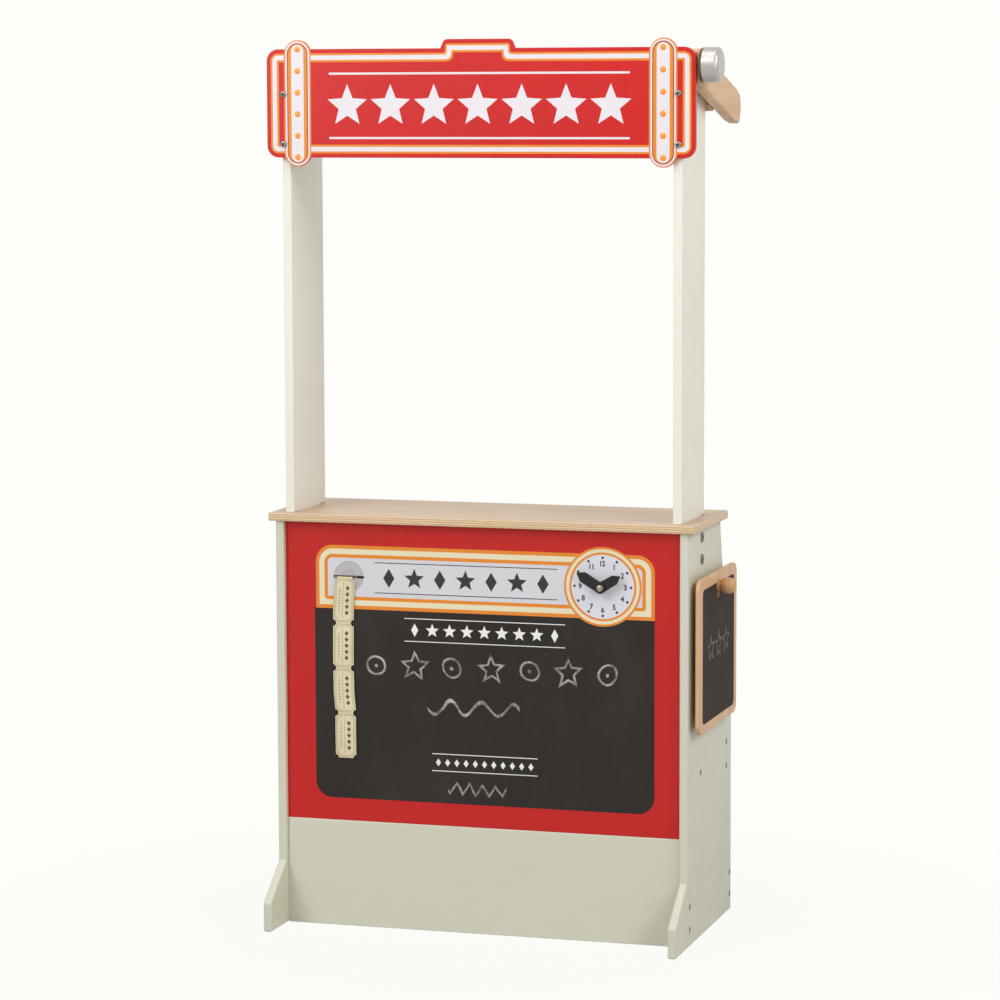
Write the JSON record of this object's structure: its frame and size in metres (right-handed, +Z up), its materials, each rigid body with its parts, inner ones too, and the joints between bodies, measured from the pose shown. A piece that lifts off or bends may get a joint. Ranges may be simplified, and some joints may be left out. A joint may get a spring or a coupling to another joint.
{
  "type": "puppet theater stand",
  "caption": "Child's standing puppet theatre: cabinet with chalk front, toy clock and ticket strip, countertop, uprights with a striped sign, small hanging chalkboard and toy lamp.",
  "frame": {"origin": "on the floor, under the middle of the kick board", "axes": "+Z up, -Y towards the viewer in front of the stand, +X to that viewer's right"},
  "size_m": [0.6232, 0.314, 1.2],
  "materials": {
    "cream_paint": "cream-white satin paint on wood board",
    "front_print": "satin red paint with a printed heading and a black chalk field",
    "sign_print": "satin red print with orange and cream stripes",
    "plywood": "clear lacquered plywood with layered edges",
    "natural_wood": "clear lacquered light wood",
    "chalk_paint": "plywood with a matt black chalk field and a bare rim",
    "ticket_card": "matt cream card with printed olive lines",
    "black_plastic": "matt black plastic",
    "chrome_pin": "polished",
    "silver_paint": "satin silver paint on turned wood",
    "brown_collar": "dark brown stained wood",
    "dark_metal": "dark bronze coloured steel",
    "screw_steel": "nickel plated steel"
  },
  "bodies": {
    "stand": {"arm_bolt": "dark_metal", "arm_dowel": "natural_wood", "arm_nut": "dark_metal", "arm_spacer": "natural_wood", "board_peg": "natural_wood", "bolt_lower_left": "dark_metal", "bolt_lower_right": "dark_metal", "bolt_upper_left": "dark_metal", "bolt_upper_right": "dark_metal", "clock_nut": "screw_steel", "clock_pin": "chrome_pin", "clock_spacer": "black_plastic", "countertop": "plywood", "front_board": "front_print", "kick_board": "cream_paint", "kick_screw_high_left": "screw_steel", "kick_screw_high_right": "screw_steel", "kick_screw_low_left": "screw_steel", "kick_screw_low_right": "screw_steel", "lamp_arm": "natural_wood", "lamp_body": "silver_paint", "lamp_collar": "brown_collar", "lamp_screw": "screw_steel", "lip_screw_high_left": "screw_steel", "lip_screw_high_right": "screw_steel", "lip_screw_low_left": "screw_steel", "lip_screw_low_right": "screw_steel", "nut_lower_left": "dark_metal", "nut_lower_right": "dark_metal", "nut_upper_left": "dark_metal", "nut_upper_right": "dark_metal", "peg_screw": "screw_steel", "rail_screw_high_left": "screw_steel", "rail_screw_high_right": "screw_steel", "rail_screw_low_left": "screw_steel", "rail_screw_low_right": "screw_steel", "rear_rail": "cream_paint", "shelf": "cream_paint", "shelf_lip": "cream_paint", "shelf_screw_left": "screw_steel", "shelf_screw_right": "screw_steel", "side_panel_left": "cream_paint", "side_panel_right": "cream_paint", "sign_board": "sign_print", "sign_screw_high_left": "screw_steel", "sign_screw_high_right": "screw_steel", "sign_screw_low_left": "screw_steel", "sign_screw_low_right": "screw_steel", "upright_left": "cream_paint", "upright_right": "cream_paint"},
    "hour_hand": {"hour_hand": "black_plastic"},
    "minute_hand": {"minute_hand": "black_plastic"},
    "small_board": {"hanging_board": "chalk_paint"},
    "tickets": {"ticket_strip": "ticket_card"}
  },
  "joints": [
    {"name": "hour_hand_turn", "type": "hinge", "parent": "stand", "child": "hour_hand", "pos_m": [0.1694, -0.016, 0.4794], "axis": [0, 1, 0], "continuous": true},
    {"name": "minute_hand_turn", "type": "hinge", "parent": "stand", "child": "minute_hand", "pos_m": [0.1694, -0.018, 0.4794], "axis": [0, 1, 0], "continuous": true},
    {"name": "board_swing", "type": "hinge", "parent": "stand", "child": "small_board", "pos_m": [0.299, 0.1, 0.473], "axis": [1, 0, 0], "range_deg": [-40, 40]},
    {"name": "ticket_pull", "type": "slide", "parent": "stand", "child": "tickets", "axis": [0, -1, 0], "range_m": [0, 0.024]}
  ]
}
